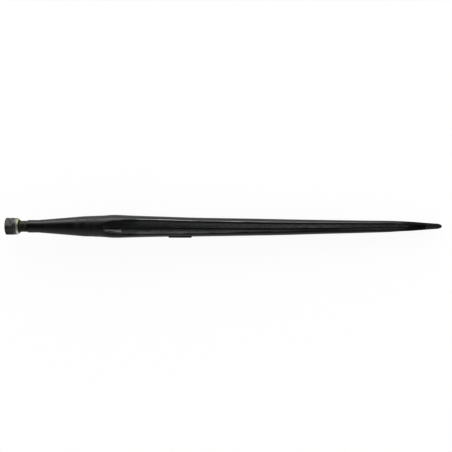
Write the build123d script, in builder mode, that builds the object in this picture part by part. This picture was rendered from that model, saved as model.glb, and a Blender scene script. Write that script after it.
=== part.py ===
from build123d import *
import os
from math import radians, sqrt, tan

# A bale spear for a loader: one forged tine and the cone nut that draws it into its bush.
# The axis runs along X with the point towards +X, and X is zero at the small end of the taper.
# The tine lies on its side, with one groove up and the other down, and rolled a little about its
# axis, as it came to rest. Lengths are in millimetres.

# Thread, left at its core on the stud and in the nut
thread_diameter = 28.0
thread_pitch = 1.5
stud_core_share = 1.2268
nut_core_share = 1.0825
thread_shown = 19.2
stud_recess = 1.0
stud_chamfer = 1.2

# Cone nut
nut_across_flats = 42.0
nut_length = 34.8
nut_face_diameter = 39.4
nut_face_angle = 30.0
nut_collar_diameter = 41.6
nut_collar_length = 7.2
nut_collar_angle = 45.0
nut_seat_diameter = 31.0
nut_seat_angle = 41.0
nut_bore_chamfer = 1.0

# Neck and taper
neck_diameter = 31.7
neck_length = 28.0
neck_chamfer = 1.3
taper_small_diameter = 31.9
taper_large_diameter = 50.8
taper_length = 114.0

# Shoulder, blade and point
shoulder_diameter = 58.2
shoulder_length = 76.0
blade_length = 828.0
blade_bow = 2.2
tip_diameter = 13.6
tip_length = 15.0
tine_roll = 6.5

# Groove on each side of the blade
root_radius = 5.5
lip_radius = 1.5
run_out_length = 74.0
run_out_lift = 21.5

# Low pad on one flange
pad_place = 167.0
pad_length = 64.0
pad_width = 16.0
pad_height = 1.8
pad_end_length = 4.0

# Swell from the taper to the shoulder: shares of its length and of its rise, and the slope at its
# start as a share of the rise over the length
swell_shares = (
    (0.36, 0.25),
    (0.67, 0.54),
    (0.85, 0.86),
)
swell_slope_share = 0.8

# Blade: shares of its length, of the shoulder's radius and of the bow
blade_shares = (
    (0.055, 0.952, 0.23),
    (0.153, 0.877, 0.50),
    (0.263, 0.815, 0.95),
    (0.384, 0.760, 0.97),
    (0.506, 0.696, 1.00),
    (0.628, 0.616, 0.78),
    (0.750, 0.546, 0.54),
    (0.836, 0.493, 0.20),
    (0.872, 0.443, 0.00),
    (0.909, 0.388, 0.00),
    (0.946, 0.306, 0.00),
)

# Groove: shares of the blade's length, then lip width, lip height and root height as shares of
# the blade's radius there
groove_shares = (
    (0.055, 0.582, 0.731, 0.24),
    (0.153, 0.601, 0.712, 0.21),
    (0.263, 0.566, 0.744, 0.28),
    (0.384, 0.535, 0.771, 0.46),
    (0.506, 0.493, 0.803, 0.56),
    (0.628, 0.497, 0.801, 0.60),
    (0.750, 0.535, 0.770, 0.62),
    (0.836, 0.535, 0.770, 0.68),
    (0.918, 0.500, 1.100, 1.08),
)

# Run-out of the groove: shares of its length and of the lift that brings its root to the surface
run_out_shares = (
    (-0.11, 1.15),
    (0.00, 0.90),
    (0.09, 0.68),
    (0.20, 0.48),
    (0.33, 0.37),
    (0.47, 0.28),
    (0.62, 0.16),
    (0.80, 0.05),
    (1.00, 0.00),
)

# The groove's root lies nearer the padded flange, by this share of the blade's radius
root_offset_share = 0.12

# The groove's cutting form beyond its lips: slope, reach and height as shares
wing_slope_share = 0.3
wing_reach_share = 1.3
cover_share = 1.9

# Sizes worked out from those above
stud_radius = (thread_diameter - stud_core_share * thread_pitch) / 2
nut_bore_radius = (thread_diameter - nut_core_share * thread_pitch) / 2
nut_corner_radius = nut_across_flats / sqrt(3)
neck_radius = neck_diameter / 2
taper_small_radius = taper_small_diameter / 2
taper_large_radius = taper_large_diameter / 2
shoulder_radius = shoulder_diameter / 2
tip_radius = tip_diameter / 2
swell_rise = shoulder_radius - taper_large_radius
nut_seat_x = -neck_length - thread_shown
nut_face_x = nut_seat_x - nut_length
stud_end_x = nut_face_x + stud_recess
shoulder_x = taper_length + shoulder_length
tip_x = shoulder_x + blade_length
nose_x = tip_x - tip_length


def list_blade_sections():
    """Place, radius and sideways shift of each round section from the shoulder to the nose."""
    sections = [(shoulder_x, shoulder_radius, 0)]
    for along, size, bow in blade_shares:
        sections.append((shoulder_x + along * blade_length, size * shoulder_radius, -bow * blade_bow))
    sections.append((nose_x, tip_radius, 0))
    return sections


blade_sections = list_blade_sections()


def blade_at(place):
    """Radius and sideways shift of the blade's round form at a place along the axis."""
    for before, after in zip(blade_sections, blade_sections[1:]):
        if place <= after[0]:
            part_way = (place - before[0]) / (after[0] - before[0])
            radius = before[1] + part_way * (after[1] - before[1])
            sideways = before[2] + part_way * (after[2] - before[2])
            return radius, sideways
    return blade_sections[-1][1:]


def cross_plane(place, sideways=0, lift=0, own_x=(0, 1, 0)):
    """A plane across the axis, facing the point, with its own x along Y if not told otherwise."""
    return Plane(origin=(place, sideways, lift), x_dir=own_x, z_dir=(1, 0, 0))


def draw_groove_section(plane, radius, lip_width_share, lip_height_share, root_share):
    """One section of the groove: a V with a round root and rounded lips, closed above the tine."""
    lip_width = lip_width_share * radius
    lip_height = lip_height_share * radius
    wing_width = wing_reach_share * radius
    wing_height = lip_height - wing_slope_share * lip_width / lip_height * (wing_width - lip_width)
    cover_height = cover_share * radius
    with BuildSketch(plane) as section:
        with BuildLine():
            FilletPolyline(
                (-root_offset_share * radius, root_share * radius),
                (lip_width, lip_height),
                (wing_width, wing_height),
                (wing_width, cover_height),
                (-wing_width, cover_height),
                (-wing_width, wing_height),
                (-lip_width, lip_height),
                radius=(root_radius, lip_radius, 0, 0, 0, 0, lip_radius),
                close=True,
            )
        make_face()
    return section.sketch.face()


# The two grooves: a long fair stretch, and a run-out whose root climbs to the shoulder's surface
with BuildPart() as grooves:
    fair_sections = []
    for along, *lip_and_root_shares in groove_shares:
        place = shoulder_x + along * blade_length
        radius, sideways = blade_at(place)
        plane = cross_plane(place, sideways)
        fair_sections.append(draw_groove_section(plane, radius, *lip_and_root_shares))
    loft(fair_sections, ruled=True)
    first_along, *first_lip_and_root_shares = groove_shares[0]
    run_out_end_x = shoulder_x + first_along * blade_length
    radius, sideways = blade_at(run_out_end_x)
    run_out_sections = []
    for along, lift_share in run_out_shares:
        place = run_out_end_x - (1 - along) * run_out_length
        plane = cross_plane(place, sideways, lift_share * run_out_lift)
        run_out_sections.append(draw_groove_section(plane, radius, *first_lip_and_root_shares))
    loft(run_out_sections, ruled=True)
    mirror(about=Plane.XY)

# The tine: stud, neck, taper and swell turned, then the blade and its point drawn out. The blade's
# circles start on top, so that the seam between them falls in the groove.
with BuildPart() as tine:
    with BuildSketch(Plane.XY):
        with BuildLine():
            Polyline(
                (stud_end_x, 0),
                (stud_end_x, stud_radius - stud_chamfer),
                (stud_end_x + stud_chamfer, stud_radius),
                (-neck_length, stud_radius),
                (-neck_length, neck_radius - neck_chamfer),
                (-neck_length + neck_chamfer, neck_radius),
                (0, neck_radius),
                (taper_small_radius - neck_radius, taper_small_radius),
                (taper_length, taper_large_radius),
            )
            swell_points = [(taper_length, taper_large_radius)]
            for along, up in swell_shares:
                swell_points.append((taper_length + along * shoulder_length, taper_large_radius + up * swell_rise))
            swell_points.append((shoulder_x, shoulder_radius))
            Spline(swell_points, tangents=((shoulder_length, swell_slope_share * swell_rise), (1, 0)))
            Polyline((shoulder_x, shoulder_radius), (shoulder_x, 0), (stud_end_x, 0))
        make_face()
    revolve(axis=Axis.X)
    for place, radius, sideways in blade_sections:
        with BuildSketch(cross_plane(place, sideways, own_x=(0, 0, 1))):
            Circle(radius)
    loft(ruled=True)
    with BuildSketch(Plane.XY):
        with BuildLine():
            EllipticalCenterArc((nose_x, 0), tip_length, tip_radius, start_angle=0, arc_size=90)
            Polyline((nose_x, tip_radius), (nose_x, 0), (tip_x, 0))
        make_face()
    revolve(axis=Axis.X)
    add(grooves.part, mode=Mode.SUBTRACT)
    pad_middle_x = shoulder_x + pad_place
    flange_radius, flange_shift = blade_at(pad_middle_x)
    pad_face_y = flange_shift - flange_radius - pad_height
    pad_root_y = pad_face_y + pad_end_length
    pad_shoulder = pad_length / 2 - pad_end_length
    with BuildSketch(Plane.XY):
        with BuildLine():
            Polyline(
                (pad_middle_x - pad_length / 2, pad_root_y),
                (pad_middle_x - pad_shoulder, pad_face_y),
                (pad_middle_x + pad_shoulder, pad_face_y),
                (pad_middle_x + pad_length / 2, pad_root_y),
                close=True,
            )
        make_face()
    extrude(amount=pad_width / 2, both=True)
tine_lying = tine.part.rotate(Axis.X, tine_roll)
tine_lying.label = "tine"

# The nut: a hexagon with a corner up, its outer end chamfered, and a round collar and a conical
# seat turned on its inner end
with BuildPart() as cone_nut:
    with BuildSketch(cross_plane(nut_face_x)):
        RegularPolygon(nut_corner_radius, side_count=6, rotation=30)
        Circle(nut_bore_radius, mode=Mode.SUBTRACT)
    extrude(amount=nut_length)
    chamfer(cone_nut.edges().filter_by(GeomType.CIRCLE), length=nut_bore_chamfer)
    turned_radius = nut_corner_radius + nut_bore_chamfer
    face_radius = nut_face_diameter / 2
    collar_radius = nut_collar_diameter / 2
    seat_radius = nut_seat_diameter / 2
    face_run = (turned_radius - face_radius) * tan(radians(nut_face_angle))
    seat_start_x = nut_seat_x - (collar_radius - seat_radius) / tan(radians(nut_seat_angle))
    collar_start_x = seat_start_x - nut_collar_length
    collar_run = (turned_radius - collar_radius) / tan(radians(nut_collar_angle))
    with BuildSketch(Plane.XY):
        with BuildLine():
            Polyline(
                (nut_face_x, 0),
                (nut_face_x, face_radius),
                (nut_face_x + face_run, turned_radius),
                (collar_start_x - collar_run, turned_radius),
                (collar_start_x, collar_radius),
                (seat_start_x, collar_radius),
                (nut_seat_x, seat_radius),
                (nut_seat_x, 0),
                close=True,
            )
        make_face()
    revolve(axis=Axis.X, mode=Mode.INTERSECT)
cone_nut.part.label = "cone_nut"

os.makedirs("parts", exist_ok=True)
export_step(tine_lying, "parts/tine.step")
export_step(cone_nut.part, "parts/cone_nut.step")
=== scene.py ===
"""Looks of a forged bale spear: its painted tine, the thread on its stud and the cone nut.

The spear lies along X with its point towards +X, one groove up and one down, rolled a little about
its axis. Sizes are in metres and are written in millimetres times MM.
"""

import itertools
import json
import logging
import math
from dataclasses import dataclass
from enum import Enum
from typing import Iterable, Sequence

import bmesh
import bpy
import numpy as np
from mathutils import Matrix, Vector, noise


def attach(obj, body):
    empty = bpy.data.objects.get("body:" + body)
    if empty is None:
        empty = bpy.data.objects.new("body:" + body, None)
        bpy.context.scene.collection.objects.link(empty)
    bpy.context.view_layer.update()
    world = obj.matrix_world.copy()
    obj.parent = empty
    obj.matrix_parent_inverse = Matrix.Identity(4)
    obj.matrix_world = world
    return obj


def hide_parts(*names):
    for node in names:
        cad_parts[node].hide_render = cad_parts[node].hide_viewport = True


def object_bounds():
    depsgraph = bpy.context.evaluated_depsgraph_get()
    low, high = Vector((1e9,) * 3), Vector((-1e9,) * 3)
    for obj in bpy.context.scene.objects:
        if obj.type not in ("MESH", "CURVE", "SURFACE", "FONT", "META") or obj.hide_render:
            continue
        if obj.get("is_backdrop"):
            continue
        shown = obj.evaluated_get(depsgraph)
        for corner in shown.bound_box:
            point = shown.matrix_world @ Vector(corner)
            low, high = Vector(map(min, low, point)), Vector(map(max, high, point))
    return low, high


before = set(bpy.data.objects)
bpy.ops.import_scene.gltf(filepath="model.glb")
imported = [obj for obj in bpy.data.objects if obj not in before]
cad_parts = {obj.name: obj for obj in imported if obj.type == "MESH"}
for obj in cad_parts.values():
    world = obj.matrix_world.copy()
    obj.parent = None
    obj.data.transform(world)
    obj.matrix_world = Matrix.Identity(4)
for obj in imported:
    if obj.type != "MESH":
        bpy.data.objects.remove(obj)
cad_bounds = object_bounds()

MM = 0.001
BODY = "root"
AXIS = Vector((1, 0, 0))
ROLL = math.radians(6.5)
FULL_TURN = 2 * math.pi
MERGE_DISTANCE = 0.001 * MM

Colour = tuple[float, float, float]
Point = tuple[float, float]
Span = tuple[Point, Point]
Table = tuple[tuple[float, ...], ...]
Socket = bpy.types.NodeSocket
Material = bpy.types.Material
Object = bpy.types.Object
Array = np.ndarray

log = logging.getLogger("bale_spear")


class Slot(Enum):
    """The record's material slots."""

    TINE = "tine_paint"
    NUT = "nut_steel"


class Mask(Enum):
    """Amounts at the tine's vertices: dust and painted light, rubbed metal and a painted highlight,
    and painted shade.
    """

    FLANK = "flank_mask"
    RUB_AND_HIGHLIGHT = "worn_mask"
    SHADE = "shade_mask"


class Sum(Enum):
    """What a math node works out."""

    ADD = "ADD"
    SUBTRACT = "SUBTRACT"
    MULTIPLY = "MULTIPLY"
    ABSOLUTE = "ABSOLUTE"


class NutFace(Enum):
    """The nut's surfaces, numbered as its material slots are."""

    OUTSIDE = 0
    BRIGHT_BAND = 1
    MOUTH = 2
    COLLAR = 3


def fair_curve(
    places: Array | float, stations: Sequence[float], values: Sequence[float]
) -> Array:
    """Read a smooth curve through chosen points, which never swings past them.

    Args:
        places: Where to read the curve.
        stations: Places of the chosen points, in rising order.
        values: The curve's value at each of them.

    Returns:
        The curve's value at each place. Beyond the ends it keeps the end values.
    """
    knots, heights = np.asarray(stations, float), np.asarray(values, float)
    gaps = np.diff(knots)
    slopes = np.diff(heights) / gaps
    before, after = slopes[:-1], slopes[1:]
    same_way = before * after > 0
    mean = 2 * before * after / np.where(same_way, before + after, 1)
    tangents = np.concatenate(([slopes[0]], np.where(same_way, mean, 0), [slopes[-1]]))
    inside = np.clip(places, knots[0], knots[-1])
    span = np.clip(np.searchsorted(knots, inside, side="right") - 1, 0, len(gaps) - 1)
    part = (inside - knots[span]) / gaps[span]
    square, cube = part**2, part**3
    return (
        heights[span] * (2 * cube - 3 * square + 1)
        + heights[span + 1] * (3 * square - 2 * cube)
        + tangents[span] * gaps[span] * (cube - 2 * square + part)
        + tangents[span + 1] * gaps[span] * (cube - square)
    )


def read_table(table: Table, place: float, smooth: bool = False) -> list[float]:
    """Read a table at one place, between its rows too.

    Args:
        table: Rows of a place and the values there, with the places in rising order.
        place: Where to read it.
        smooth: Whether a smooth curve joins the rows, or else straight lines.

    Returns:
        The value in each column after the first.
    """
    stations, *columns = zip(*table)
    read = fair_curve if smooth else np.interp
    return [float(read(place, stations, column)) for column in columns]


def fade(values: Array, start: float, end: float) -> Array:
    """Rise smoothly from 0 at the start to 1 at the end, or fall if the end comes first."""
    share = np.clip((values - start) / (end - start), 0, 1)
    return share**2 * (3 - 2 * share)


def soft_minimum(first: Array, second: Array, blend: float) -> Array:
    """Take the smaller of two heights, with the crease between them rounded.

    Args:
        first: One height at each point.
        second: The other height at each point.
        blend: Difference in height over which the crease is rounded.

    Returns:
        The smaller height at each point, a little lower near the crease.
    """
    share = np.clip(0.5 + 0.5 * (second - first) / blend, 0, 1)
    return second * (1 - share) + first * share - blend * share * (1 - share)


def finish_mesh(
    bm: bmesh.types.BMesh, name: str, crease_angle: float = math.radians(30)
) -> Object:
    """Turn a bmesh into an object with smooth faces and sharp creases.

    Args:
        bm: The shape, which is freed here.
        name: Name of the new object.
        crease_angle: Angle between two faces, in radians, from which their edge is a crease.

    Returns:
        The new object, at the origin.
    """
    bmesh.ops.remove_doubles(bm, verts=bm.verts, dist=MERGE_DISTANCE)
    bmesh.ops.recalc_face_normals(bm, faces=bm.faces)
    for face in bm.faces:
        face.smooth = True
    for edge in bm.edges:
        edge.smooth = edge.calc_face_angle(0) < crease_angle
    mesh = bpy.data.meshes.new(name)
    bm.to_mesh(mesh)
    bm.free()
    piece = bpy.data.objects.new(name, mesh)
    bpy.context.scene.collection.objects.link(piece)
    return piece


@dataclass(frozen=True)
class Clouds:
    """A cloudy pattern on the object's coordinates.

    Attributes:
        size: Size of its spots, in metres.
        detail: How many finer layers it has.
        stretch: Factor on its density along X, Y and Z.
        low: Its value where it starts to show, and what that becomes.
        high: Its value where all of it shows, and what that becomes.
    """

    size: float
    detail: float = 2
    stretch: tuple[float, float, float] = (1, 1, 1)
    low: Point = (0, 0)
    high: Point = (1, 1)


class NodeBench:
    """Places and links the nodes of one tree."""

    def __init__(self, tree: bpy.types.NodeTree) -> None:
        """Start work on a tree."""
        self.tree = tree

    def add(self, kind: str) -> bpy.types.Node:
        """Add a node of the kind that follows ShaderNode in its type."""
        return self.tree.nodes.new(f"ShaderNode{kind}")

    def feed(self, target: Socket, value: object) -> None:
        """Give an input its value.

        Args:
            target: The input.
            value: An output, which is linked, or a constant.
        """
        if isinstance(value, Socket):
            self.tree.links.new(value, target)
        else:
            target.default_value = value

    def split(self, vector: Socket, axis: str) -> Socket:
        """Give one part of a vector.

        Args:
            vector: The vector.
            axis: Name of the axis.

        Returns:
            The vector's part along that axis.
        """
        parts = self.add("SeparateXYZ")
        self.feed(parts.inputs["Vector"], vector)
        return parts.outputs[axis]

    def spread(self, source: Socket, low: Point, high: Point, smooth: bool = False) -> Socket:
        """Map one range of a value to another.

        Args:
            source: The value.
            low: Lowest value in, and what it becomes.
            high: Highest value in, and what it becomes.
            smooth: Whether both ends are eased.

        Returns:
            The mapped value, held within its range.
        """
        ramp = self.add("MapRange")
        if smooth:
            ramp.interpolation_type = "SMOOTHSTEP"
        for end, point in (("Min", low), ("Max", high)):
            for side, number in zip(("From", "To"), point):
                ramp.inputs[f"{side} {end}"].default_value = number
        self.feed(ramp.inputs["Value"], source)
        return ramp.outputs["Result"]

    def combine(self, operation: Sum, first: object, *others: object) -> Socket:
        """Work out one number from two or more, from left to right.

        Args:
            operation: What is done with each two.
            first: A number or an output.
            others: More numbers or outputs.

        Returns:
            The result.
        """
        result = first
        for other in others:
            node = self.add("Math")
            node.operation = operation.value
            for socket, value in zip(node.inputs, (result, other)):
                self.feed(socket, value)
            result = node.outputs[0]
        return result

    def mix(self, share: Socket, first: object, second: object) -> Socket:
        """Mix two colours or two numbers.

        Args:
            share: How much of the second, from 0 to 1.
            first: A colour, or the output of a colour or a number.
            second: Another of the same kind.

        Returns:
            The mixed colour or number.
        """
        kind = getattr(first, "type", "RGBA")
        mixer = self.add("Mix")
        mixer.data_type = "RGBA" if kind == "RGBA" else "FLOAT"
        self.feed(mixer.inputs["Factor"], share)
        for name, value in (("A", first), ("B", second)):
            socket = next(s for s in mixer.inputs if s.name == name and s.type == kind)
            self.feed(socket, (*value, 1) if isinstance(value, tuple) else value)
        return next(s for s in mixer.outputs if s.type == kind)


class FinishBench(NodeBench):
    """Makes one material around its surface shader."""

    def __init__(self, name: str) -> None:
        """Start the material under its name."""
        self.material = bpy.data.materials.new(name)
        self.material.use_nodes = True
        super().__init__(self.material.node_tree)
        self.tree.nodes.clear()
        self.shader = self.add("BsdfPrincipled")
        output = self.add("OutputMaterial")
        self.feed(output.inputs["Surface"], self.shader.outputs["BSDF"])
        self.coordinates = self.add("TexCoord").outputs["Object"]

    def along(self, axis: str) -> Socket:
        """Give the place along one axis, in metres."""
        return self.split(self.coordinates, axis)

    def mask(self, mask: Mask) -> Socket:
        """Read a mask that the mesh carries at its vertices."""
        attribute = self.add("Attribute")
        attribute.attribute_name = mask.value
        return attribute.outputs["Fac"]

    def noise(self, pattern: Clouds) -> Socket:
        """Add a cloudy pattern over its whole range.

        Args:
            pattern: Its size, detail and stretch.

        Returns:
            The pattern, from 0 to 1.
        """
        mapping = self.add("Mapping")
        mapping.inputs["Scale"].default_value = [way / pattern.size for way in pattern.stretch]
        self.feed(mapping.inputs["Vector"], self.coordinates)
        texture = self.add("TexNoise")
        texture.inputs["Scale"].default_value = 1
        texture.inputs["Detail"].default_value = pattern.detail
        self.feed(texture.inputs["Vector"], mapping.outputs["Vector"])
        return texture.outputs["Fac"]

    def clouds(self, pattern: Clouds) -> Socket:
        """Add a cloudy pattern within the range that shows."""
        return self.spread(self.noise(pattern), pattern.low, pattern.high)

    def bump(self, pattern: Clouds, height: float) -> None:
        """Raise a pattern out of the surface, over any bump that is there.

        Args:
            pattern: The pattern.
            height: Its height, in metres.
        """
        bump = self.add("Bump")
        bump.inputs["Distance"].default_value = height
        self.feed(bump.inputs["Height"], self.noise(pattern))
        normal = self.shader.inputs["Normal"]
        if normal.is_linked:
            self.feed(bump.inputs["Normal"], normal.links[0].from_socket)
        self.feed(normal, bump.outputs["Normal"])

    def set(self, **values: object) -> None:
        """Feed the shader's inputs, with underscores for the spaces in their names."""
        for key, value in values.items():
            self.feed(self.shader.inputs[key.replace("_", " ")], value)


@dataclass(frozen=True)
class ForgePaint:
    """Thin black paint over the scale of a forging: glossy outside, dull and dusty in the grooves,
    with painted light, highlight and shade.

    A span is two points: a place, a pattern's value or a mask's, and what applies there.
    """

    name: str = "black_forge_paint"
    colour: Colour = (0.0045, 0.0050, 0.0048)
    dusty_colour: Colour = (0.018, 0.0192, 0.0186)
    # Colour of the groove flanks: dust with painted light
    flank_dust_and_light_colour: Colour = (0.330, 0.353, 0.340)
    # Rubbed metal along the +Y lip, with a painted highlight
    rub_and_highlight_colour: Colour = (0.36, 0.365, 0.36)
    line_colour: Colour = (0.045, 0.047, 0.046)
    bare_colour: Colour = (0.075, 0.08, 0.077)
    patches: Clouds = Clouds(28 * MM, 4, (0.4, 1, 1))
    patch_dust: Span = ((0.35, 0), (0.7, 1.2))
    handled: Span = ((18 * MM, 0), (20 * MM, 0.55))
    speckle: Clouds = Clouds(2.6 * MM, 3, (0.25, 1, 1), (0.3, 0.3), (0.7, 1))
    # Patches along the rubbed +Y lip and its painted highlight
    rub_and_highlight_patches: Clouds = Clouds(30 * MM, 4, (0.3, 1, 1), (0.38, 0), (0.58, 0.75))
    lines: tuple[Point, ...] = ((19.0 * MM, 0.5), (70.4 * MM, 0.2))
    line_width: float = 1.6 * MM
    rings: Clouds = Clouds(5.5 * MM, 1, (1, 0.08, 0.08), (0.4, 0), (0.65, 2.2))
    rings_begin: Span = ((80 * MM, 0), (100 * MM, 1))
    rings_end: Span = ((140 * MM, 1), (180 * MM, 0))
    ring_dulling: float = 0.09
    bare_edge: Span = ((0.3, -4 * MM), (0.7, 4 * MM))
    bare_point: Span = ((972 * MM, 0), (975 * MM, 1))
    bare_side: Span = ((-4 * MM, 1), (3 * MM, 0.2))
    roughness: Span = ((0, 0.29), (0.15, 0.42))
    patch_dulling: Span = ((0.3, 0), (0.8, 0.12))
    point_dulling: Span = ((850 * MM, 0), (930 * MM, 0.22))
    # Painted shade: the gloss falls towards the point, and more steeply near it
    gloss: Span = ((850 * MM, 0.5), (930 * MM, 0.25))
    point_painted_shade: Span = ((908 * MM, 1), (930 * MM, 0.35))
    # Painted shade beside the run-out: the gloss falls where the shade mask rises
    shade_gloss: Span = ((0, 1), (1, 0.2))
    scale: Clouds = Clouds(6 * MM, 5, (0.6, 1, 1))
    scale_height: float = 0.13 * MM
    grain: Clouds = Clouds(0.9 * MM)
    grain_height: float = 0.02 * MM

    def material(self) -> Material:
        """Make the finish: dark paint with dust, lines and rings, painted light on the groove
        flanks, a rubbed lip with a painted highlight, and painted shade, over scale.
        """
        bench = FinishBench(self.name)
        place, patches = bench.along("X"), bench.noise(self.patches)
        flank, rings = bench.mask(Mask.FLANK), self.hammer_rings(bench, place)
        # A rubbed metal band with a painted highlight along the +Y lip
        rub_and_highlight = bench.combine(Sum.MULTIPLY, bench.mask(Mask.RUB_AND_HIGHLIGHT), bench.clouds(self.rub_and_highlight_patches))
        # Dust and painted light on the groove flanks
        dust = bench.combine(Sum.MULTIPLY, flank, bench.clouds(self.speckle))
        painted = bench.mix(dust, self.coat(bench, place, patches, rings), self.flank_dust_and_light_colour)
        bench.set(
            Base_Color=bench.mix(rub_and_highlight, painted, self.rub_and_highlight_colour),
            Metallic=rub_and_highlight,
            Roughness=bench.combine(
                Sum.ADD,
                bench.spread(flank, *self.roughness),
                bench.spread(patches, *self.patch_dulling),
                bench.spread(place, *self.point_dulling),
                bench.combine(Sum.MULTIPLY, rings, self.ring_dulling),
            ),
            # Gloss lowered as painted shade towards the point and beside the run-out
            Specular_IOR_Level=bench.combine(
                Sum.MULTIPLY,
                bench.spread(place, *self.gloss),
                bench.spread(bench.mask(Mask.SHADE), *self.shade_gloss),
                bench.spread(place, *self.point_painted_shade),
            ),
        )
        bench.bump(self.scale, self.scale_height)
        bench.bump(self.grain, self.grain_height)
        return bench.material

    def coat(self, bench: FinishBench, place: Socket, patches: Socket, rings: Socket) -> Socket:
        """Colour the paint outside the grooves.

        Args:
            bench: Where the material is made.
            place: Place along the axis.
            patches: Large cloudy patches.
            rings: The rings on the swell.

        Returns:
            Its colour, with dust, the bare side of the point and the thin lines.
        """
        dust = bench.spread(patches, *self.patch_dust)
        handled = bench.combine(Sum.MULTIPLY, dust, bench.spread(place, *self.handled))
        coat = bench.mix(
            bench.combine(Sum.ADD, handled, rings), self.colour, self.dusty_colour
        )
        ragged = bench.combine(Sum.ADD, place, bench.spread(patches, *self.bare_edge))
        bare = bench.combine(
            Sum.MULTIPLY,
            bench.spread(ragged, *self.bare_point),
            bench.spread(bench.along("Y"), *self.bare_side),
        )
        coat = bench.mix(bare, coat, self.bare_colour)
        for middle, strength in self.lines:
            away = bench.combine(Sum.ABSOLUTE, bench.combine(Sum.SUBTRACT, place, middle), 0)
            line = bench.spread(away, (0, strength), (self.line_width, 0))
            coat = bench.mix(line, coat, self.line_colour)
        return coat

    def hammer_rings(self, bench: FinishBench, place: Socket) -> Socket:
        """Make the faint rings that hammering left around the swell."""
        begun, ended = (bench.spread(place, *end) for end in (self.rings_begin, self.rings_end))
        return bench.combine(Sum.MULTIPLY, begun, ended, bench.clouds(self.rings))


@dataclass(frozen=True)
class Steel:
    """Steel with stains, and with a grainy skin where it has a grain.

    Each kind of steel below gives the values.
    """

    name: str
    colour: Colour
    stain_colour: Colour
    stains: Clouds
    roughness: float
    metallic: float
    grain: Clouds | None = None
    grain_height: float = 0.0

    def stained(self, bench: FinishBench) -> Socket:
        """Stain the steel."""
        return bench.mix(bench.clouds(self.stains), self.colour, self.stain_colour)

    def material(self) -> Material:
        """Make the finish."""
        bench = FinishBench(self.name)
        bench.set(
            Base_Color=self.stained(bench), Metallic=self.metallic, Roughness=self.roughness
        )
        if self.grain:
            bench.bump(self.grain, self.grain_height)
        return bench.material


@dataclass(frozen=True)
class DullSteel(Steel):
    """Steel with a dull grey phosphate coat, as forged nuts have."""

    name: str = "dull_nut_steel"
    colour: Colour = (0.085, 0.09, 0.085)
    stain_colour: Colour = (0.04, 0.042, 0.04)
    stains: Clouds = Clouds(6 * MM, 4, low=(0.4, 0), high=(0.7, 1))
    roughness: float = 0.45
    metallic: float = 0.9
    grain: Clouds = Clouds(1.2 * MM, 3)
    grain_height: float = 0.03 * MM


@dataclass(frozen=True)
class TurnedSteel(Steel):
    """Bright turned steel with tool marks around the axis, yellowish, and paler below by painted
    light.
    """

    name: str = "turned_seat_steel"
    colour: Colour = (0.36, 0.36, 0.26)
    stain_colour: Colour = (0.17, 0.165, 0.10)
    stains: Clouds = Clouds(5 * MM, 3, low=(0.5, 0), high=(0.8, 0.7))
    roughness: float = 0.42
    metallic: float = 0.5
    grain: Clouds = Clouds(0.35 * MM, 1, (1, 0.01, 0.01))
    grain_height: float = 0.012 * MM
    # Painted light: the steel turns paler towards -Y, where the room's light is weak
    painted_light_colour: Colour = (0.62, 0.60, 0.56)
    painted_light_side: Span = ((-14 * MM, 1), (0, 0))

    def stained(self, bench: FinishBench) -> Socket:
        """Stain the steel and paint light on it towards -Y."""
        pale = bench.spread(bench.along("Y"), *self.painted_light_side)
        return bench.mix(pale, super().stained(bench), self.painted_light_colour)


@dataclass(frozen=True)
class ThreadSteel(Steel):
    """Grey thread steel with traces of yellow passivation and oil."""

    name: str = "thread_steel"
    colour: Colour = (0.155, 0.155, 0.118)
    stain_colour: Colour = (0.062, 0.062, 0.061)
    stains: Clouds = Clouds(7 * MM, 3, low=(0.4, 0), high=(0.65, 1))
    roughness: float = 0.45
    metallic: float = 0.45


@dataclass(frozen=True)
class GrooveForm:
    """Sizes of the groove's form at one place, with heights over the middle plane.

    The root line lies towards -Y by its offset, and the lift raises the form in the run-out.
    """

    lip_width: float
    lip_height: float
    root_height: float
    root_offset: float
    radius: float
    lift: float


@dataclass(frozen=True)
class Ring:
    """One ring of the tine's skin: its vertices start at +Z, and its bow is towards -Y."""

    place: float
    radii: Array
    bow: float
    masks: dict[Mask, Array]


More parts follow.
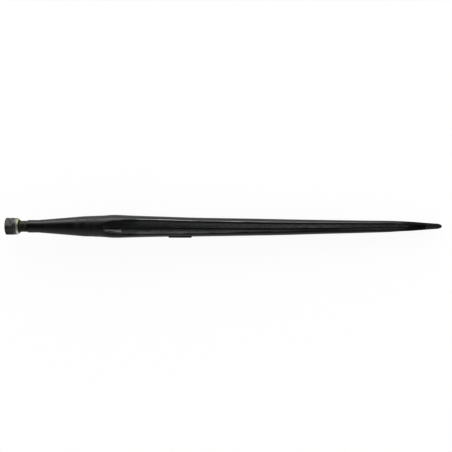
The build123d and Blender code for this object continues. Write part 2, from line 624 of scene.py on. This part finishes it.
@dataclass
class Tine:
    """The forged tine: stud, neck, taper, swell, grooved blade and point, as one skin of rings.

    Shares are of the length or radius that each table follows, and a table's rows start with the
    place.
    """

    name: str = "tine_skin"
    node: str = "tine"
    segments: int = 160
    stud_end: float = -81.0 * MM
    stud_radius: float = 13.08 * MM
    stud_chamfer: float = 1.2 * MM
    neck_start: float = -28.0 * MM
    neck_radius: float = 15.85 * MM
    neck_chamfer: float = 1.3 * MM
    taper_radius: float = 15.95 * MM
    taper_length: float = 114.0 * MM
    swell_radius: float = 25.4 * MM
    swell_length: float = 76.0 * MM
    shoulder_radius: float = 29.1 * MM
    blade_length: float = 828.0 * MM
    blade_bow: float = 2.2 * MM
    tip_radius: float = 6.8 * MM
    tip_length: float = 15.0 * MM
    root_radius: float = 5.5 * MM
    root_offset_share: float = 0.12
    lip_radius: float = 1.5 * MM
    lip_blend: float = 0.3 * MM
    land_slope_share: float = 0.3
    run_out_length: float = 74.0 * MM
    run_out_lift: float = 21.5 * MM
    run_out_reach: float = 1.15
    search_reach: float = 1.5
    search_steps: int = 26
    unevenness: float = 0.16 * MM
    unevenness_size: float = 34.0 * MM
    unevenness_reach: float = 16.0 * MM
    shank_step: float = 4.0 * MM
    run_out_step: float = 1.5 * MM
    blade_step: float = 2.6 * MM
    nose_rings: int = 10
    crease_angle: float = math.radians(28)
    # A strip along the root keeps the plain black paint as painted shade, wider up to the wedge's
    # end
    root_shade_width: float = 1.0 * MM
    wedge_shade_gap: float = 1.8 * MM
    wedge_end: float = 209.0 * MM
    flank_fade: float = 1.2 * MM
    # Painted light on the flanks, stronger towards the root, where the opposite lip shades them
    root_painted_light: float = 1.15
    lip_painted_light_loss: float = 0.4
    # Rubbed metal and painted highlight along the +Y lip only
    rub_and_highlight_width: float = 1.1 * MM
    rub_and_highlight_rise: float = 0.7
    # Painted shade (less gloss) beside the run-out and on the near land
    shade_fade: float = 5.5 * MM
    near_shade: float = 0.65
    near_shade_reach: float = 9.0 * MM
    # Rise of the radius
    swell_shares: Table = ((0, 0), (0.36, 0.25), (0.67, 0.54), (0.85, 0.86), (1, 1))
    # Radius and bow
    blade_shares: Table = (
        (0, 1, 0), (0.055, 0.952, 0.23), (0.153, 0.877, 0.50),
        (0.263, 0.815, 0.95), (0.384, 0.760, 0.97), (0.506, 0.696, 1.00),
        (0.628, 0.616, 0.78), (0.750, 0.546, 0.54), (0.836, 0.493, 0.20),
        (0.872, 0.443, 0), (0.909, 0.388, 0), (0.946, 0.306, 0),
    )
    # Lip width, lip height and root height
    groove_shares: Table = (
        (0.055, 0.582, 0.731, 0.24), (0.153, 0.601, 0.712, 0.21),
        (0.263, 0.566, 0.744, 0.28), (0.384, 0.535, 0.771, 0.46),
        (0.506, 0.493, 0.803, 0.56), (0.628, 0.497, 0.801, 0.60),
        (0.750, 0.535, 0.770, 0.62), (0.836, 0.535, 0.770, 0.68),
        (0.918, 0.500, 1.100, 1.08),
    )
    # Lift
    run_out_shares: Table = (
        (-0.11, 1.15), (0, 0.90), (0.09, 0.68), (0.20, 0.48), (0.33, 0.37),
        (0.47, 0.28), (0.62, 0.16), (0.80, 0.05), (1, 0),
    )
    # Dust and painted light on the near flank and on the far flank, and how far the near flank's
    # share reaches; the near flank's high values up to the wedge's end are painted light
    flank_dust_and_light: Table = (
        (168 * MM, 0.00, 0.05, 4.5 * MM), (174 * MM, 2.20, 0.05, 5 * MM),
        (184 * MM, 2.60, 0.06, 6 * MM), (197 * MM, 2.80, 0.08, 7.4 * MM),
        (208 * MM, 2.80, 0.10, 9 * MM), (211 * MM, 0.18, 0.13, 10 * MM),
        (214 * MM, 0.32, 0.15, 12 * MM), (235 * MM, 0.36, 0.22, 20 * MM),
        (278 * MM, 0.34, 0.27, 40 * MM), (281 * MM, 0.19, 0.27, 40 * MM),
        (284 * MM, 0.43, 0.27, 40 * MM), (306 * MM, 0.42, 0.28, 40 * MM),
        (309 * MM, 0.22, 0.28, 40 * MM), (312 * MM, 0.36, 0.29, 40 * MM),
        (358 * MM, 0.42, 0.33, 40 * MM), (408 * MM, 0.32, 0.44, 40 * MM),
        (509 * MM, 0.00, 0.50, 40 * MM), (610 * MM, 0.00, 0.58, 40 * MM),
        (711 * MM, 0.00, 0.78, 40 * MM), (813 * MM, 0.22, 0.36, 40 * MM),
        (860 * MM, 0.30, 0.32, 40 * MM), (914 * MM, 0.20, 0.34, 40 * MM),
    )
    # Rubbed metal and painted highlight along the far lip
    rub_and_highlight_shares: Table = ((240 * MM, 0), (262 * MM, 1), (680 * MM, 1), (850 * MM, 0))
    # Painted shade (less gloss) beside the run-out, and how far it reaches towards +Y
    shade_shares: Table = (
        (160 * MM, 0, 8 * MM), (172 * MM, 1, 10.5 * MM), (190 * MM, 1, 15.5 * MM),
        (235 * MM, 1, 16.5 * MM), (262 * MM, 0, 16.5 * MM),
    )

    @property
    def shoulder(self) -> float:
        """Place of the shoulder, where the blade starts."""
        return self.taper_length + self.swell_length

    @property
    def nose(self) -> float:
        """Place where the point starts to round off."""
        return self.shoulder + self.blade_length - self.tip_length

    @property
    def groove_start(self) -> float:
        """Place where the fair groove starts and its run-out ends."""
        return self.shoulder + self.groove_shares[0][0] * self.blade_length

    @property
    def turned_outline(self) -> Table:
        """Place and radius of each corner of the stud and the neck."""
        return (
            (self.stud_end, self.stud_radius - self.stud_chamfer),
            (self.stud_end + self.stud_chamfer, self.stud_radius),
            (self.neck_start, self.stud_radius),
            (self.neck_start + self.neck_chamfer, self.neck_radius),
            (0.0, self.neck_radius),
        )

    def places(self) -> Array:
        """List the places of the rings along the axis, from the stud's end to the point."""
        run_out_start = self.groove_start - self.run_out_reach * self.run_out_length
        stretches = (
            (0.0, run_out_start, self.shank_step),
            (run_out_start, self.groove_start, self.run_out_step),
            (self.groove_start, self.nose, self.blade_step),
        )
        listed = [[place for place, _ in self.turned_outline]]
        for start, end, step in stretches:
            listed.append(np.linspace(start, end, math.ceil((end - start) / step) + 1)[1:])
        turn = np.linspace(0, math.pi / 2, self.nose_rings + 1)[1:]
        listed.append(self.nose + self.tip_length * np.sin(turn))
        return np.concatenate(listed)

    def radii(self, places: Array | float) -> Array:
        """Give the radius of the round form at each place beyond the neck.

        Args:
            places: Places along the axis.

        Returns:
            The radius at each of them.
        """
        rise = self.shoulder_radius - self.swell_radius
        stations, sizes = [0.0], [self.taper_radius]
        for along, up in self.swell_shares:
            stations.append(self.taper_length + along * self.swell_length)
            sizes.append(self.swell_radius + up * rise)
        for along, size, _ in self.blade_shares[1:]:
            stations.append(self.shoulder + along * self.blade_length)
            sizes.append(size * self.shoulder_radius)
        stations.append(self.nose)
        sizes.append(self.tip_radius)
        straight = np.interp(places, stations[:2], sizes[:2])
        part = np.clip((places - self.nose) / self.tip_length, 0, 1)
        rounded = self.tip_radius * np.sqrt(1 - part**2)
        fair = np.where(places > self.nose, rounded, fair_curve(places, stations, sizes))
        return np.where(places < self.taper_length, straight, fair)

    def bows(self, places: Array) -> Array:
        """Give how far the blade's centre lies towards -Y at each place."""
        alongs, _, shares = np.transpose(self.blade_shares)
        stations = self.shoulder + alongs * self.blade_length
        return self.blade_bow * fair_curve(places, stations, shares)

    def groove_form(self, place: float, radius: float) -> GrooveForm:
        """Find the groove's form at one place: the run-out has the form of its end, raised.

        Args:
            place: Place along the axis.
            radius: Radius of the round form there.

        Returns:
            The form.
        """
        lift, shares = 0.0, self.groove_shares[0][1:]
        if place < self.groove_start:
            part = 1 - (self.groove_start - place) / self.run_out_length
            lift = self.run_out_lift * read_table(self.run_out_shares, part, smooth=True)[0]
            radius = float(self.radii(self.groove_start))
        else:
            along = (place - self.shoulder) / self.blade_length
            shares = read_table(self.groove_shares, along, smooth=True)
        sizes = [share * radius for share in (*shares, self.root_offset_share)]
        return GrooveForm(*sizes, radius, lift)

    def groove_height(self, across: Array, form: GrooveForm) -> Array:
        """Give the height of the groove's surface over the middle plane.

        Args:
            across: Places across the groove, towards +Y from its centre line.
            form: The groove's form.

        Returns:
            The height at each place: the V with its round root, the round lips and the land.
        """
        root, lip = self.root_radius, self.lip_radius
        rise = form.lip_height - form.root_height
        near_slope = rise / (form.lip_width - form.root_offset)
        far_slope = rise / (form.lip_width + form.root_offset)
        near_tilt, far_tilt = math.atan(near_slope), math.atan(far_slope)
        extra = root * (1 / math.cos(near_tilt) - 1 / math.cos(far_tilt))
        bottom_across = extra / (near_slope + far_slope)
        bottom_height = form.root_height + root / math.cos(far_tilt) + far_slope * bottom_across
        from_root = across + form.root_offset
        from_bottom = from_root - bottom_across
        bottom = bottom_height - np.sqrt(np.maximum(root**2 - from_bottom**2, 0))
        slope = np.where(from_root < 0, near_slope, far_slope)
        rounded = from_bottom > -root * math.sin(near_tilt)
        rounded &= from_bottom < root * math.sin(far_tilt)
        valley = np.where(rounded, bottom, form.root_height + slope * np.abs(from_root))
        tilt = np.arctan(slope)
        land_slope = self.land_slope_share * form.lip_width / form.lip_height
        land_tilt = math.atan(land_slope)
        outwards = np.abs(across)
        land = form.lip_height - land_slope * (outwards - form.lip_width)
        down = lip / np.cos((tilt + land_tilt) / 2)
        lean = (tilt - land_tilt) / 2
        centre_across = form.lip_width + down * np.sin(lean)
        centre_height = form.lip_height - down * np.cos(lean)
        inner = centre_across - lip * np.sin(tilt)
        outer = centre_across + lip * math.sin(land_tilt)
        crest = centre_height + np.sqrt(np.maximum(lip**2 - (outwards - centre_across) ** 2, 0))
        return np.where(outwards < inner, valley, np.where(outwards < outer, crest, land))

    def mask_values(
        self, place: float, radius: float, sizes: Array, side: Array, form: GrooveForm
    ) -> dict[Mask, Array]:
        """Give the masks around a grooved ring: dust and painted light on the flanks with painted
        shade along the root, rubbed metal and a painted highlight on the +Y lip, and painted shade
        beside the run-out.

        Args:
            place: Place along the axis.
            radius: Radius of the round form there.
            sizes: How far the groove's surface is from the centre at each vertex.
            side: How much of that lies towards +Y.
            form: The groove's form.

        Returns:
            Each mask's value at each vertex.
        """
        across, depth, spots = sizes * side, radius - sizes, np.minimum(sizes, radius) * side
        from_root = np.abs(across + form.root_offset)
        # The strip along the root stays black: painted shade
        root_end = self.root_shade_width / 2 + self.wedge_shade_gap * (place < self.wedge_end)
        flank = fade(from_root, root_end, root_end + self.flank_fade)
        flank *= fade(np.abs(across), form.lip_width, form.lip_width - 2 * self.flank_fade)
        flank *= fade(depth, 0, self.flank_fade / 2)
        # Dust and painted light; the near flank's high values are painted light
        near_dust_and_light, far_dust_and_light, reach = read_table(self.flank_dust_and_light, place)
        near_flank = near_dust_and_light * fade(from_root, reach, reach - self.flank_fade)
        flank *= np.where(across < -form.root_offset, near_flank, far_dust_and_light)
        # Painted light, stronger towards the root
        flank *= self.root_painted_light - self.lip_painted_light_loss * from_root / form.lip_width
        # Rubbed metal and painted highlight, on the +Y lip only
        rub_and_highlight = np.clip(1 - np.abs(depth / self.rub_and_highlight_width + self.rub_and_highlight_rise), 0, 1) * (side > 0)
        rub_and_highlight *= read_table(self.rub_and_highlight_shares, place)[0]
        # Painted shade: less gloss beside the run-out and on the near side
        share, reach = read_table(self.shade_shares, place)
        near_reach = -form.root_offset - self.near_shade_reach
        shade = fade(spots, reach + self.shade_fade, reach) * fade(spots, 0, self.shade_fade)
        shade += self.near_shade * fade(spots, near_reach, near_reach - self.flank_fade)
        return {Mask.FLANK: flank, Mask.RUB_AND_HIGHLIGHT: rub_and_highlight, Mask.SHADE: shade * share}

    def grooved_ring(self, place: float, radius: float, bow: float) -> Ring:
        """Cut both grooves into one ring of the round form.

        Args:
            place: Place along the axis.
            radius: Radius of the round form there.
            bow: How far its centre lies towards -Y.

        Returns:
            The ring with its masks.
        """
        form = self.groove_form(place, radius)
        turn = np.arange(self.segments) * FULL_TURN / self.segments
        side, up = np.sin(turn), np.abs(np.cos(turn))
        round_radii = np.full(self.segments, radius)
        near, far = 0 * round_radii, np.full(self.segments, self.search_reach * form.radius)
        for _ in range(self.search_steps):
            middle = (near + far) / 2
            below = self.groove_height(middle * side, form) + form.lift > middle * up
            near, far = np.where(below, middle, near), np.where(below, far, middle)
        masks = self.mask_values(place, radius, near, side, form)
        return Ring(place, soft_minimum(round_radii, near, self.lip_blend), bow, masks)

    def rings(self) -> Iterable[Ring]:
        """Work out each ring, from the stud's end to the point."""
        places = self.places()
        none = np.zeros(self.segments)
        for place, size, bow in zip(places, self.radii(places), self.bows(places)):
            if 0 < place <= self.nose:
                yield self.grooved_ring(place, size, bow)
                continue
            if place <= 0:
                size = read_table(self.turned_outline, place)[0]
            yield Ring(place, none + size, 0.0, dict.fromkeys(Mask, none))

    def unevenness_at(self, place: float, turn: float) -> float:
        """Give how deep the forging dips below its form.

        Args:
            place: Place along the axis.
            turn: Angle from +Z.

        Returns:
            The depth, which is 0 where the tine is turned and on the point's rounding.
        """
        if not 0 < place <= self.nose:
            return 0.0
        out = self.unevenness_reach
        spot = Vector((place, out * math.sin(turn), out * math.cos(turn))) / self.unevenness_size
        return self.unevenness * (1 + noise.noise(spot)) / 2

    def build(self) -> Object:
        """Draw the skin out ring by ring from a circle, close both ends and make it an object."""
        bm = bmesh.new()
        for mask in Mask:
            bm.verts.layers.float.new(mask.value)
        layers = {mask: bm.verts.layers.float[mask.value] for mask in Mask}
        circle = bmesh.ops.create_circle(bm, segments=self.segments, radius=1.0)["verts"]
        turns = {vertex: index for index, vertex in enumerate(circle)}
        edges = first_edges = list(bm.edges)
        for number, ring in enumerate(self.rings()):
            if number:
                grown = bmesh.ops.extrude_edge_only(bm, edges=edges)["geom"]
                edges = [item for item in grown if isinstance(item, bmesh.types.BMEdge)]
                fresh = [item for item in grown if isinstance(item, bmesh.types.BMVert)]
                turns = {vertex: self.partner(vertex, turns) for vertex in fresh}
            for vertex, index in turns.items():
                turn = index * FULL_TURN / self.segments
                size = ring.radii[index] - self.unevenness_at(ring.place, turn)
                vertex.co = (ring.place, size * math.sin(turn) - ring.bow, size * math.cos(turn))
                for mask, layer in layers.items():
                    vertex[layer] = ring.masks[mask][index]
        bmesh.ops.contextual_create(bm, geom=first_edges)
        matrix = Matrix.Rotation(ROLL, 3, AXIS)
        bmesh.ops.rotate(bm, verts=bm.verts, cent=(0, 0, 0), matrix=matrix)
        return finish_mesh(bm, self.name, self.crease_angle)

    @staticmethod
    def partner(vertex: bmesh.types.BMVert, source: dict[bmesh.types.BMVert, int]) -> int:
        """Find the number of the vertex that a new one was drawn out of.

        Args:
            vertex: The new vertex.
            source: The last ring's vertices and their numbers.

        Returns:
            The number.
        """
        for edge in vertex.link_edges:
            other = edge.other_vert(vertex)
            if other in source:
                return source[other]
        raise ValueError("a ring's vertex has no partner in the ring before")

    def dress(self, piece: Object, paint: Material) -> None:
        """Paint the skin and let it stand for the tine's node.

        Args:
            piece: The skin.
            paint: Its finish.
        """
        piece.data.materials.append(paint)
        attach(piece, BODY)
        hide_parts(self.node)


@dataclass
class FlangePad:
    """The low pad on the flange towards -Y."""

    name: str = "flange_pad"
    middle: float = 357.0 * MM
    length: float = 64.0 * MM
    end_length: float = 4.0 * MM
    width: float = 16.0 * MM
    face: float = -28.1 * MM
    depth: float = 6.0 * MM
    edge_radius: float = 0.7 * MM
    edge_segments: int = 3
    crease_angle: float = math.radians(50)

    def build(self) -> Object:
        """Shape a block with sloping ends and rounded edges, sunk into the flange."""
        bm = bmesh.new()
        bmesh.ops.create_cube(bm, size=1.0)
        bmesh.ops.scale(bm, vec=(self.length, self.depth, self.width), verts=bm.verts)
        for vertex in bm.verts:
            if vertex.co.y < 0:
                vertex.co.x -= math.copysign(self.end_length, vertex.co.x)
        place = Vector((self.middle, self.face + self.depth / 2, 0))
        bmesh.ops.translate(bm, vec=place, verts=bm.verts)
        bmesh.ops.bevel(
            bm, geom=list(bm.edges), offset=self.edge_radius, segments=self.edge_segments,
            profile=0.5, affect="EDGES", material=-1,
        )
        matrix = Matrix.Rotation(ROLL, 3, AXIS)
        bmesh.ops.rotate(bm, verts=bm.verts, cent=(0, 0, 0), matrix=matrix)
        return finish_mesh(bm, self.name, self.crease_angle)

    def dress(self, piece: Object, paint: Material) -> None:
        """Paint the pad.

        Args:
            piece: The pad.
            paint: Its finish.
        """
        piece.data.materials.append(paint)
        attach(piece, BODY)


@dataclass
class StudThread:
    """The right-hand thread where the stud shows between the nut and the neck."""

    name: str = "stud_thread"
    pitch: float = 1.5 * MM
    crest_radius: float = 14.0 * MM
    root_radius: float = 13.0 * MM
    crest_width: float = 0.19 * MM
    start: float = -49.2 * MM
    end: float = -27.5 * MM
    segments: int = 64

    def build(self) -> Object:
        """Turn one ridge's profile around the axis as it moves along, so that its turns join."""
        bm = bmesh.new()
        half_crest = self.crest_width / 2
        profile = (
            (0, self.root_radius),
            (self.pitch / 2 - half_crest, self.crest_radius),
            (self.pitch / 2 + half_crest, self.crest_radius),
            (self.pitch, self.root_radius),
        )
        corners = [bm.verts.new((self.start + along, 0, radius)) for along, radius in profile]
        edges = [bm.edges.new(pair) for pair in zip(corners, corners[1:])]
        turns = round((self.end - self.start) / self.pitch)
        bmesh.ops.spin(
            bm, geom=corners + edges, cent=(0, 0, 0), axis=AXIS, angle=FULL_TURN * turns,
            dvec=AXIS * (self.pitch / self.segments), steps=self.segments * turns, use_merge=False,
        )
        return finish_mesh(bm, self.name)

    def dress(self, piece: Object, steel: Material) -> None:
        """Give the thread its steel.

        Args:
            piece: The thread.
            steel: Its finish.
        """
        piece.data.materials.append(steel)
        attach(piece, BODY)


@dataclass
class ConeNut:
    """The hexagon nut with a chamfered outer end, a short round collar and a conical seat."""

    name: str = "cone_nut_skin"
    node: str = "cone_nut"
    sides: int = 6
    across_flats: float = 42.0 * MM
    outer_end: float = -82.0 * MM
    seat_end: float = -47.2 * MM
    face_radius: float = 19.7 * MM
    face_angle: float = math.radians(30)
    collar_radius: float = 20.8 * MM
    collar_length: float = 7.2 * MM
    collar_angle: float = math.radians(45)
    seat_radius: float = 15.5 * MM
    seat_angle: float = math.radians(41)
    bore_radius: float = 13.19 * MM
    bore_chamfer: float = 1.0 * MM
    bright_radius: float = 17.6 * MM
    bright_rim: float = 1.0 * MM
    segments: int = 96
    edge_radius: float = 0.45 * MM
    edge_segments: int = 3
    edge_angle: float = math.radians(20)
    crease_angle: float = math.radians(24)

    def flat_radius(self, turn: float) -> float:
        """Give the hexagon's radius at an angle from +Z, where a corner points."""
        side = FULL_TURN / self.sides
        return self.across_flats / 2 / math.cos((turn % side) - side / 2)

    def cone_place(self, radius: float) -> float:
        """Give the place along the axis where the cone has a radius."""
        return self.seat_end - (radius - self.seat_radius) / math.tan(self.seat_angle)

    def outline(self, turn: float) -> list[Point]:
        """List the corners of the nut's section at one angle.

        Args:
            turn: Angle from +Z.

        Returns:
            Place and radius of each corner, round the wall from the bore's outer mouth.
        """
        size = self.flat_radius(turn)
        mouth = self.bore_radius + self.bore_chamfer
        cone_start = self.cone_place(self.collar_radius)
        collar_start = cone_start - self.collar_length
        face_run = (size - self.face_radius) * math.tan(self.face_angle)
        collar_run = (size - self.collar_radius) / math.tan(self.collar_angle)
        return [
            (self.outer_end + self.bore_chamfer, self.bore_radius),
            (self.outer_end, mouth),
            (self.outer_end, self.face_radius),
            (self.outer_end + face_run, size),
            (collar_start - collar_run, size),
            (collar_start, self.collar_radius),
            (cone_start - self.bright_rim, self.collar_radius),
            (cone_start, self.collar_radius),
            (self.cone_place(self.bright_radius), self.bright_radius),
            (self.seat_end, self.seat_radius),
            (self.seat_end, mouth),
            (self.seat_end - self.bore_chamfer, self.bore_radius),
        ]

    def build(self) -> Object:
        """Turn the wall's section around the axis, fit it to the hexagon and round its edges."""
        bm = bmesh.new()
        start = self.outline(0)
        corners = [bm.verts.new((place, 0, size)) for place, size in start]
        edges = [bm.edges.new((corner, corners[index - 1])) for index, corner in enumerate(corners)]
        bmesh.ops.spin(
            bm, geom=corners + edges, cent=(0, 0, 0), axis=AXIS, angle=FULL_TURN,
            steps=self.segments, use_merge=True,
        )
        for vertex in bm.verts:
            turn = math.atan2(-vertex.co.y, vertex.co.z)
            here = Vector((vertex.co.x, vertex.co.yz.length))
            away = [(Vector(corner) - here).length for corner in start]
            place, size = self.outline(turn)[away.index(min(away))]
            vertex.co = (place, -size * math.sin(turn), size * math.cos(turn))
        bmesh.ops.recalc_face_normals(bm, faces=bm.faces)
        bore = self.bore_radius + self.bore_chamfer / 2
        outer = [
            edge for edge in bm.edges
            if edge.calc_face_angle(0) > self.edge_angle and edge.verts[0].co.yz.length > bore
        ]
        bmesh.ops.bevel(
            bm, geom=outer, offset=self.edge_radius, segments=self.edge_segments,
            profile=0.5, affect="EDGES", material=-1,
        )
        return finish_mesh(bm, self.name, self.crease_angle)

    def face_at(self, spot: Vector) -> NutFace:
        """Tell which of the nut's surfaces a point lies on.

        Args:
            spot: The point.

        Returns:
            The surface.
        """
        cone_start = self.cone_place(self.collar_radius)
        if spot.x > self.cone_place(self.bright_radius):
            return NutFace.MOUTH
        if spot.yz.length > self.bright_radius:
            if spot.x > cone_start - self.bright_rim:
                return NutFace.BRIGHT_BAND
            if spot.x > cone_start - self.collar_length:
                return NutFace.COLLAR
        return NutFace.OUTSIDE

    def dress(self, piece: Object, finishes: dict[NutFace, Steel]) -> None:
        """Give each of the nut's surfaces its finish.

        Args:
            piece: The nut's skin.
            finishes: The finish of each surface.
        """
        for face in NutFace:
            piece.data.materials.append(finishes[face].material())
        for polygon in piece.data.polygons:
            polygon.material_index = self.face_at(polygon.center).value
        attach(piece, BODY)
        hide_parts(self.node)


@dataclass
class Studio:
    """The pale floor, the soft light of the room and the camera.

    The light's spans give a direction's part along an axis and the brightness there.
    """

    camera_place: tuple[float, float, float] = (472.7 * MM, 0.7 * MM, 1960.0 * MM)
    sensor: float = 36.0
    focal_length: float = 61.77
    balance: float = 362.0 * MM
    place_digits: int = 4
    floor_size: float = 40.0
    floor_colour: Colour = (0.06, 0.06, 0.06)
    floor_shade: float = 0.985
    floor_clouds: Clouds = Clouds(0.4, 3)
    floor_roughness: float = 0.9
    floor_glow: float = 0.95
    strip: Span = ((0.1, 6.6), (0.74, 0.07))
    glow: Span = ((0.40, 1.1), (1.05, 0.07))
    strip_side: Span = ((-0.2, 0), (0.3, 1))
    end_dimming: Span = ((0.35, 1), (0.95, 0.12))
    contrast_gamma: float = 0.75

    def resting_line(self, piece: Object) -> Point:
        """Find the line on which the spear rests, on both sides of its balance point.

        Args:
            piece: The tine's skin.

        Returns:
            The line's height at the balance point, and its rise for each metre towards the point.
        """
        lows: dict[float, float] = {}
        for vertex in piece.data.vertices:
            place = round(vertex.co.x - self.balance, self.place_digits)
            lows[place] = min(lows.get(place, 0.0), vertex.co.z)
        behind = [spot for spot in lows.items() if spot[0] < 0]
        ahead = [spot for spot in lows.items() if spot[0] > 0]
        lines = []
        for (back, back_low), (front, front_low) in itertools.product(behind, ahead):
            slope = (front_low - back_low) / (front - back)
            lines.append((back_low - slope * back, slope))
        return min(lines)

    def lay_floor(self, piece: Object) -> None:
        """Lay the floor under the spear as it rests.

        Args:
            piece: The tine's skin.
        """
        height, slope = self.resting_line(piece)
        bm = bmesh.new()
        bmesh.ops.create_grid(bm, x_segments=1, y_segments=1, size=self.floor_size / 2)
        bmesh.ops.translate(bm, vec=(self.camera_place[0], 0, 0), verts=bm.verts)
        for vertex in bm.verts:
            vertex.co.z = height + slope * (vertex.co.x - self.balance)
        floor = finish_mesh(bm, "floor")
        bench = FinishBench("pale_floor")
        shaded = tuple(self.floor_shade * part for part in self.floor_colour)
        bench.set(
            Base_Color=bench.mix(bench.noise(self.floor_clouds), self.floor_colour, shaded),
            Roughness=self.floor_roughness,
            Emission_Color=(1, 1, 1, 1),
            Emission_Strength=self.floor_glow,
        )
        floor.data.materials.append(bench.material)
        floor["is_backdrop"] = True

    def place_camera(self) -> None:
        """Look straight down on the spear."""
        data = bpy.data.cameras.new("camera")
        data.sensor_width = self.sensor
        data.lens = self.focal_length
        camera = bpy.data.objects.new("camera", data)
        camera.location = self.camera_place
        bpy.context.scene.collection.objects.link(camera)
        bpy.context.scene.camera = camera

    def light_room(self) -> None:
        """Light the room with a bright low strip towards +Y and a broad dim glow towards -Y."""
        world = bpy.data.worlds.new("room")
        world.use_nodes = True
        bench = NodeBench(world.node_tree)
        direction = bench.add("TexCoord").outputs["Generated"]
        along, across, up = (bench.split(direction, axis) for axis in "XYZ")
        side = bench.spread(across, *self.strip_side, smooth=True)
        glow, strip = (bench.spread(up, *span, smooth=True) for span in (self.glow, self.strip))
        ends = bench.spread(bench.combine(Sum.ABSOLUTE, along, 0), *self.end_dimming, smooth=True)
        light = bench.combine(Sum.MULTIPLY, bench.mix(side, glow, strip), ends)
        background = bench.tree.nodes["Background"]
        bench.feed(background.inputs["Strength"], light)
        bench.feed(background.inputs["Color"], (1, 1, 1, 1))
        bpy.context.scene.world = world
        bpy.context.scene.view_settings.view_transform = "Standard"
        bpy.context.scene.view_settings.gamma = self.contrast_gamma


def write_sizes(cad_box: object, visual_box: object) -> None:
    """Turn both boxes into plain lists of numbers and then into JSON text, which is not kept.

    Args:
        cad_box: Lowest and highest corner of the CAD model.
        visual_box: Lowest and highest corner of the visual model.
    """
    boxes = [[list(map(float, corner)) for corner in box] for box in (cad_box, visual_box)]
    for box in boxes:
        json.dumps(box) + "\n"


def main() -> None:
    """Build and dress each piece, then set up the studio."""
    tine = Tine()
    skin = tine.build()
    tine.dress(skin, ForgePaint().material())
    log.info("tine: %d faces", len(skin.data.polygons))
    pad = FlangePad()
    pad_paint = ForgePaint("pad_paint", (0.021, 0.019, 0.030), (0.034, 0.031, 0.046))
    pad.dress(pad.build(), pad_paint.material())
    log.info("flange pad: in place")
    thread = StudThread()
    thread.dress(thread.build(), ThreadSteel().material())
    log.info("stud thread: in place")
    nut = ConeNut()
    finishes = {
        NutFace.OUTSIDE: DullSteel(),
        NutFace.BRIGHT_BAND: TurnedSteel(),
        # The cone's small end and the bore's mouths are darker steel
        NutFace.MOUTH: DullSteel("dark_cone_steel", (0.05, 0.05, 0.042), (0.02, 0.02, 0.016)),
        NutFace.COLLAR: DullSteel(
            "collar_steel", (0.13, 0.135, 0.12), (0.09, 0.093, 0.085), metallic=0.2
        ),
    }
    nut.dress(nut.build(), finishes)
    log.info("cone nut: in place")
    studio = Studio()
    studio.lay_floor(skin)
    studio.light_room()
    studio.place_camera()
    write_sizes(cad_bounds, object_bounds())


if __name__ == "__main__":
    logging.basicConfig(level=logging.INFO)
    main()
